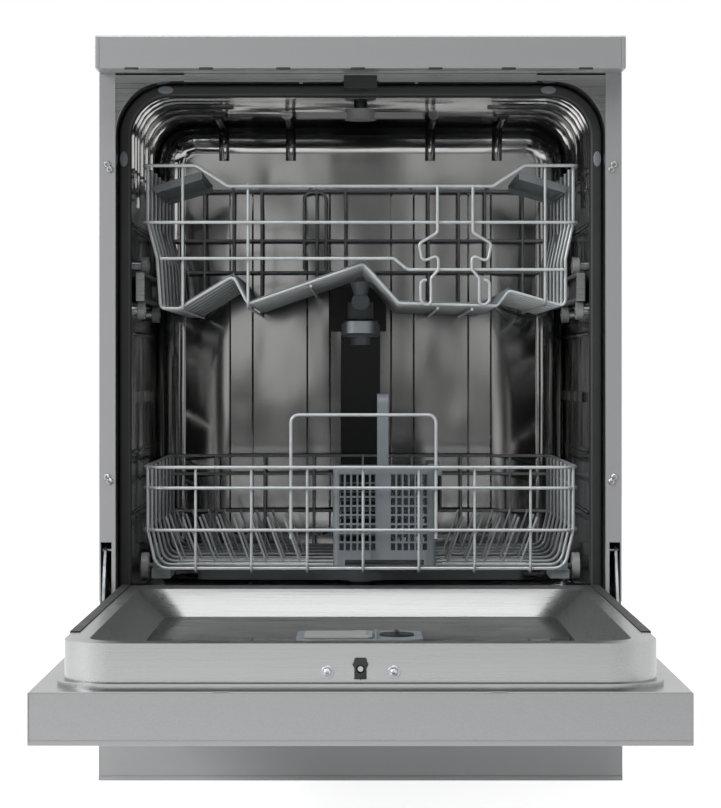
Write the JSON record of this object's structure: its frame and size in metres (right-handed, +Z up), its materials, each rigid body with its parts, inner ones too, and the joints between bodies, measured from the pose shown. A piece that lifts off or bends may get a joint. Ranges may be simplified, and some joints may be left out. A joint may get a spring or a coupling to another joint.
{
  "type": "dishwasher",
  "caption": "Free-standing dishwasher with drop-down door, sliding upper and lower wire racks, cutlery basket, spray arms, sump and levelling feet.",
  "frame": {"origin": "on the floor, in the middle of the cabinet's width, in the plane of its front flanges", "axes": "+Z up, +Y from the door towards the rear, +X to the right seen from the front"},
  "size_m": [0.598, 1.232, 0.845],
  "materials": {
    "painted_steel": "satin silver paint",
    "stainless": "drawn and brushed",
    "bright_stainless": "near-mirror drawn sheet",
    "zinc_steel": "zinc plated",
    "silver_plastic": "moulded, silver-grey",
    "grey_plastic": "moulded, mid grey",
    "light_plastic": "moulded, light grey",
    "dark_plastic": "moulded, black",
    "coated_wire": "steel wire dipped in grey nylon",
    "black_rubber": "moulded",
    "filter_steel": "fine mesh"
  },
  "bodies": {
    "cabinet": {"worktop": "painted_steel", "worktop_end_caps": "silver_plastic", "side_panel_left": "painted_steel", "side_panel_right": "painted_steel", "rear_panel": "zinc_steel", "tub": "bright_stainless", "top_cross_rail": "stainless", "door_strike": "dark_plastic", "door_gasket": "black_rubber", "base_tray": "dark_plastic", "plinth": "painted_steel", "cabinet_fasteners": "zinc_steel", "hinge_brackets": "zinc_steel", "door_springs": "zinc_steel", "feed_pipe": "dark_plastic", "sump": "dark_plastic", "wash_pump": "dark_plastic", "drain_pump": "dark_plastic", "inlet_valve": "light_plastic"},
    "door": {"door_skin": "painted_steel", "control_fascia": "silver_plastic", "door_liner": "stainless", "hinge_arms": "zinc_steel", "door_latch": "dark_plastic", "dispenser": "grey_plastic", "liner_seals": "black_rubber"},
    "upper_rack": {"upper_basket": "coated_wire", "upper_wheel_carriers": "grey_plastic", "mid_feed_tube": "grey_plastic"},
    "lower_rack": {"lower_basket": "coated_wire", "lower_wheel_clips": "grey_plastic"},
    "detergent_lid": {"detergent_lid": "light_plastic"},
    "rinse_cap": {"rinse_cap": "dark_plastic"},
    "power_button": {"power_button": "silver_plastic"},
    "program_button": {"program_button": "silver_plastic"},
    "start_button": {"start_button": "silver_plastic"},
    "latch_bolt": {"latch_bolt": "zinc_steel"},
    "lower_wheels_front": {"lower_wheels_front": "light_plastic"},
    "lower_wheels_middle": {"lower_wheels_middle": "light_plastic"},
    "lower_wheels_rear": {"lower_wheels_rear": "light_plastic"},
    "tines_left": {"tines_left": "coated_wire"},
    "tines_right": {"tines_right": "coated_wire"},
    "cutlery_basket": {"cutlery_basket": "grey_plastic"},
    "cutlery_lid": {"cutlery_lid": "dark_plastic"},
    "slide_rails": {"slide_rails": "stainless"},
    "rack_wheels_front": {"rack_wheels_front": "light_plastic"},
    "rack_wheels_rear": {"rack_wheels_rear": "light_plastic"},
    "wall_rollers_front": {"wall_rollers_front": "light_plastic"},
    "wall_rollers_top": {"wall_rollers_top": "light_plastic"},
    "wall_rollers_rear": {"wall_rollers_rear": "light_plastic"},
    "cup_shelf_left": {"cup_shelf_left": "grey_plastic"},
    "cup_shelf_right": {"cup_shelf_right": "grey_plastic"},
    "mid_spray_arm": {"mid_spray_arm": "grey_plastic"},
    "lower_spray_arm": {"lower_spray_arm": "grey_plastic"},
    "top_sprayer": {"top_sprayer": "light_plastic"},
    "filter_cup": {"filter_cup": "filter_steel"},
    "float_dome": {"float_dome": "light_plastic"},
    "foot_left": {"foot_left": "dark_plastic"},
    "foot_right": {"foot_right": "dark_plastic"}
  },
  "joints": [
    {"name": "door_hinge", "type": "hinge", "parent": "cabinet", "child": "door", "pos_m": [0, -0.0215, 0.1605], "axis": [-1, 0, 0], "range_deg": [0, 90], "deforming": ["door_springs"]},
    {"name": "detergent_lid_flip", "type": "hinge", "parent": "door", "child": "detergent_lid", "pos_m": [-0.056, -0.338, 0.1985], "axis": [0, -1, 0], "range_deg": [0, 90]},
    {"name": "rinse_cap_turn", "type": "hinge", "parent": "door", "child": "rinse_cap", "pos_m": [0.037, -0.333, 0.1921], "axis": [0, 0, 1], "range_deg": [0, 90]},
    {"name": "power_button_press", "type": "slide", "parent": "door", "child": "power_button", "axis": [0, 0, 1], "range_m": [0, 0.0015], "stiffness_N_per_m": 600, "springref_m": -0.002},
    {"name": "program_button_press", "type": "slide", "parent": "door", "child": "program_button", "axis": [0, 0, 1], "range_m": [0, 0.0015], "stiffness_N_per_m": 600, "springref_m": -0.002},
    {"name": "start_button_press", "type": "slide", "parent": "door", "child": "start_button", "axis": [0, 0, 1], "range_m": [0, 0.0015], "stiffness_N_per_m": 600, "springref_m": -0.002},
    {"name": "latch_bolt_slide", "type": "slide", "parent": "door", "child": "latch_bolt", "axis": [0, -1, 0], "range_m": [0, 0.01]},
    {"name": "lower_rack_slide", "type": "slide", "parent": "cabinet", "child": "lower_rack", "axis": [0, 1, 0], "range_m": [-0.5, 0]},
    {"name": "lower_wheels_front_roll", "type": "hinge", "parent": "lower_rack", "child": "lower_wheels_front", "pos_m": [0, 0.098, 0.2375], "axis": [1, 0, 0], "continuous": true},
    {"name": "lower_wheels_middle_roll", "type": "hinge", "parent": "lower_rack", "child": "lower_wheels_middle", "pos_m": [0, 0.285, 0.2375], "axis": [1, 0, 0], "continuous": true},
    {"name": "lower_wheels_rear_roll", "type": "hinge", "parent": "lower_rack", "child": "lower_wheels_rear", "pos_m": [0, 0.44, 0.2375], "axis": [1, 0, 0], "continuous": true},
    {"name": "tines_left_fold", "type": "hinge", "parent": "lower_rack", "child": "tines_left", "pos_m": [0, 0.33, 0.2365], "axis": [-1, 0, 0], "range_deg": [0, 80]},
    {"name": "tines_right_fold", "type": "hinge", "parent": "lower_rack", "child": "tines_right", "pos_m": [0, 0.33, 0.2365], "axis": [-1, 0, 0], "range_deg": [0, 80]},
    {"name": "cutlery_basket_lift", "type": "slide", "parent": "lower_rack", "child": "cutlery_basket", "axis": [0, 0, 1], "range_m": [0, 0.095]},
    {"name": "cutlery_lid_flip", "type": "hinge", "parent": "cutlery_basket", "child": "cutlery_lid", "pos_m": [0.0925, 0.13125, 0.3562], "axis": [0, -1, 0], "range_deg": [0, 270]},
    {"name": "upper_rack_slide", "type": "slide", "parent": "cabinet", "child": "upper_rack", "axis": [0, 1, 0], "range_m": [-0.42, 0]},
    {"name": "rail_slide", "type": "slide", "parent": "cabinet", "child": "slide_rails", "axis": [0, 1, 0], "range_m": [-0.21, 0]},
    {"name": "rack_wheels_front_roll", "type": "hinge", "parent": "upper_rack", "child": "rack_wheels_front", "pos_m": [0, 0.292, 0.56435], "axis": [1, 0, 0], "continuous": true},
    {"name": "rack_wheels_rear_roll", "type": "hinge", "parent": "upper_rack", "child": "rack_wheels_rear", "pos_m": [0, 0.462, 0.56435], "axis": [1, 0, 0], "continuous": true},
    {"name": "wall_rollers_front_roll", "type": "hinge", "parent": "cabinet", "child": "wall_rollers_front", "pos_m": [0, 0.078, 0.5382], "axis": [1, 0, 0], "continuous": true},
    {"name": "wall_rollers_top_roll", "type": "hinge", "parent": "cabinet", "child": "wall_rollers_top", "pos_m": [0, 0.132, 0.5928], "axis": [1, 0, 0], "continuous": true},
    {"name": "wall_rollers_rear_roll", "type": "hinge", "parent": "cabinet", "child": "wall_rollers_rear", "pos_m": [0, 0.3, 0.5382], "axis": [1, 0, 0], "continuous": true},
    {"name": "cup_shelf_left_fold", "type": "hinge", "parent": "upper_rack", "child": "cup_shelf_left", "pos_m": [-0.2428, 0.186, 0.681], "axis": [0, -1, 0], "range_deg": [0, 70]},
    {"name": "cup_shelf_right_fold", "type": "hinge", "parent": "upper_rack", "child": "cup_shelf_right", "pos_m": [0.2428, 0.186, 0.681], "axis": [0, 1, 0], "range_deg": [0, 70]},
    {"name": "mid_arm_spin", "type": "hinge", "parent": "upper_rack", "child": "mid_spray_arm", "pos_m": [0, 0.283, 0.515], "axis": [0, 0, 1], "continuous": true},
    {"name": "lower_arm_spin", "type": "hinge", "parent": "cabinet", "child": "lower_spray_arm", "pos_m": [0, 0.283, 0.213], "axis": [0, 0, 1], "continuous": true},
    {"name": "top_sprayer_spin", "type": "hinge", "parent": "cabinet", "child": "top_sprayer", "pos_m": [0, 0.2, 0.778], "axis": [0, 0, 1], "continuous": true},
    {"name": "filter_turn", "type": "hinge", "parent": "cabinet", "child": "filter_cup", "pos_m": [0.058, 0.247, 0.17], "axis": [0, 0, 1], "range_deg": [0, 60]},
    {"name": "float_lift", "type": "slide", "parent": "cabinet", "child": "float_dome", "axis": [0, 0, 1], "range_m": [0, 0.008]},
    {"name": "foot_left_screw", "type": "slide", "parent": "cabinet", "child": "foot_left", "axis": [0, 0, -1], "range_m": [0, 0.03]},
    {"name": "foot_right_screw", "type": "slide", "parent": "cabinet", "child": "foot_right", "axis": [0, 0, -1], "range_m": [0, 0.03]}
  ],
  "couplings": [
    {"joint": "lower_wheels_front_roll", "follows": "lower_rack_slide", "rad_per_m": -64.516},
    {"joint": "lower_wheels_middle_roll", "follows": "lower_rack_slide", "rad_per_m": -64.516},
    {"joint": "lower_wheels_rear_roll", "follows": "lower_rack_slide", "rad_per_m": -64.516},
    {"joint": "rail_slide", "follows": "upper_rack_slide", "ratio": 0.5},
    {"joint": "rack_wheels_front_roll", "follows": "upper_rack_slide", "rad_per_m": -35.714},
    {"joint": "rack_wheels_rear_roll", "follows": "upper_rack_slide", "rad_per_m": -35.714},
    {"joint": "wall_rollers_front_roll", "follows": "upper_rack_slide", "rad_per_m": -47.619},
    {"joint": "wall_rollers_top_roll", "follows": "upper_rack_slide", "rad_per_m": 47.619},
    {"joint": "wall_rollers_rear_roll", "follows": "upper_rack_slide", "rad_per_m": -47.619}
  ]
}
